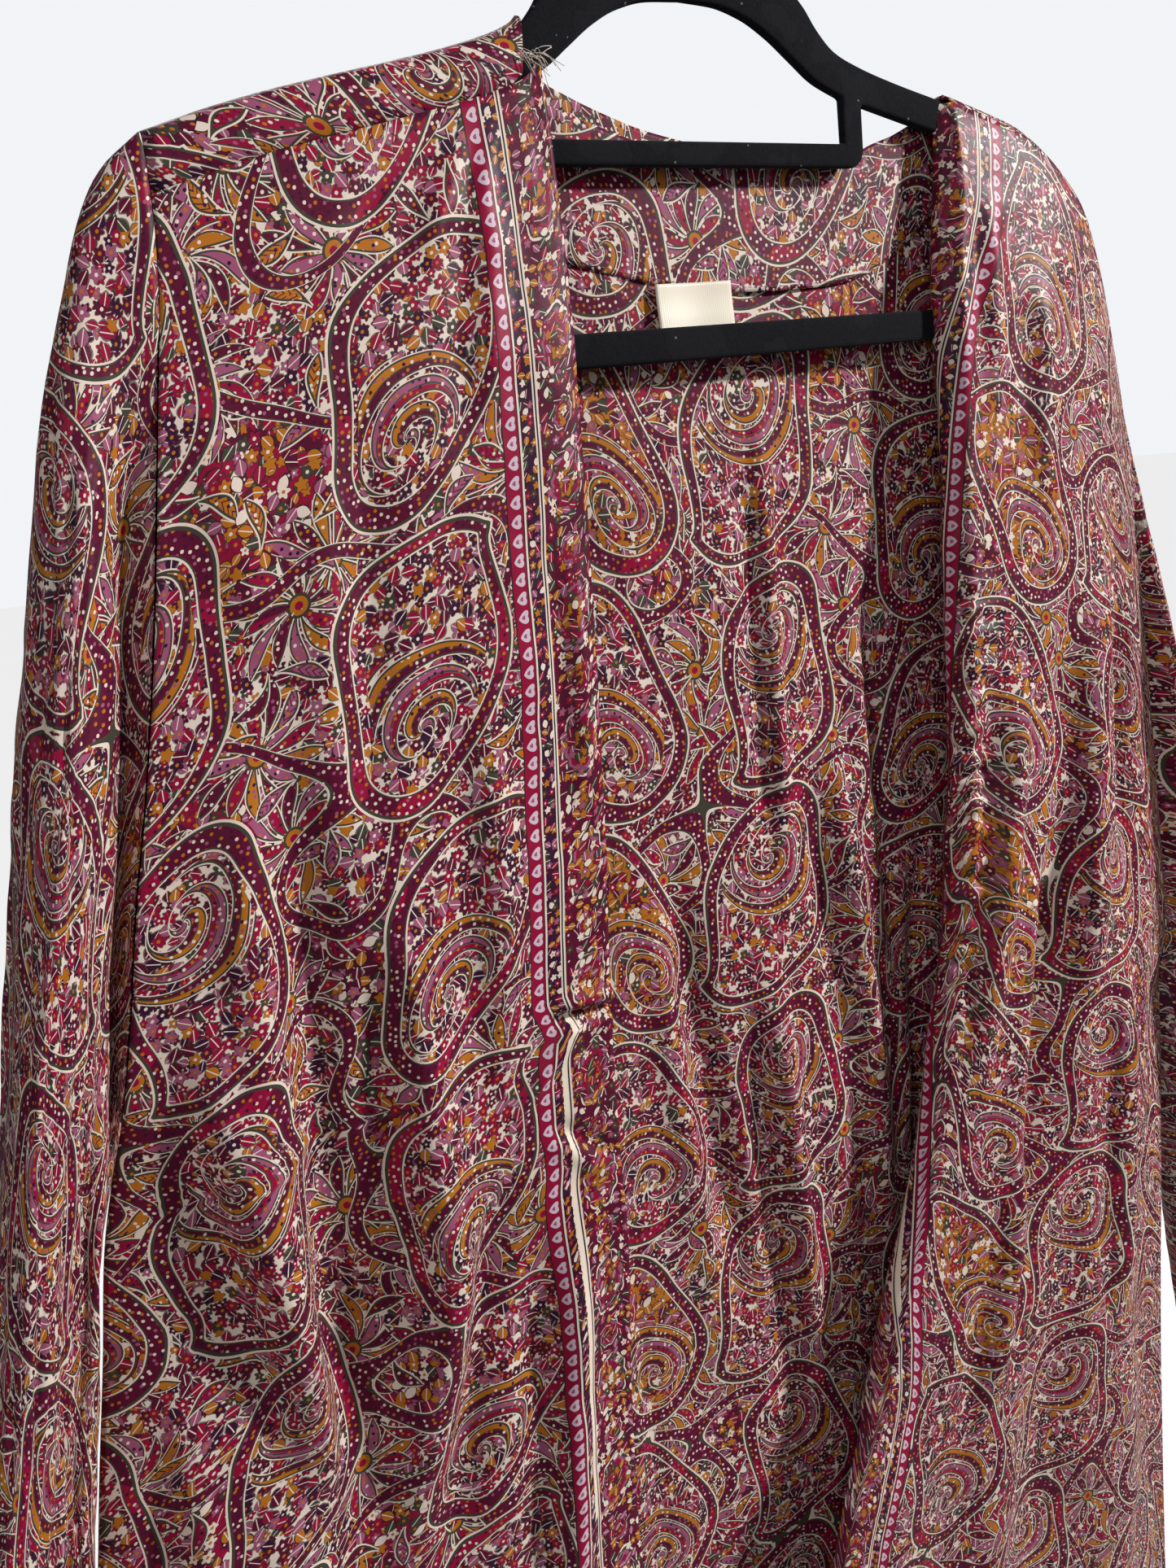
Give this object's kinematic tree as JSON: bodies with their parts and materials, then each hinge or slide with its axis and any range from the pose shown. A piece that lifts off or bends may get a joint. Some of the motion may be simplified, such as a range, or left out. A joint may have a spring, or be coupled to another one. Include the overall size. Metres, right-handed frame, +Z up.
{
  "type": "kimono robe on a velvet hanger",
  "caption": "Open-front kimono robe in printed silk, with wide dropped sleeves, hanging from a flat velvet covered clothes hanger with a wire hook.",
  "frame": {"origin": "the hook's hang point: the top of its inner side, where it rests on a rail", "axes": "+Z up, the robe's open front faces -Y, +X to the right in the picture"},
  "size_m": [0.8614, 0.0733, 1.2734],
  "materials": {
    "printed_silk": "light printed silk with a soft sheen",
    "facing_silk": "the same silk, seen from its printed side",
    "label_satin": "plain cream satin tape",
    "black_velvet": "black flocking over a moulded core",
    "bright_steel": "bright plated wire"
  },
  "bodies": {
    "root": {"hanger_frame": "black_velvet", "hanger_hook": "bright_steel", "back_panel": "printed_silk", "front_left": "printed_silk", "front_right": "printed_silk", "sleeve_left": "printed_silk", "sleeve_right": "printed_silk", "neck_facing": "facing_silk", "neck_label": "label_satin"}
  },
  "joints": []
}
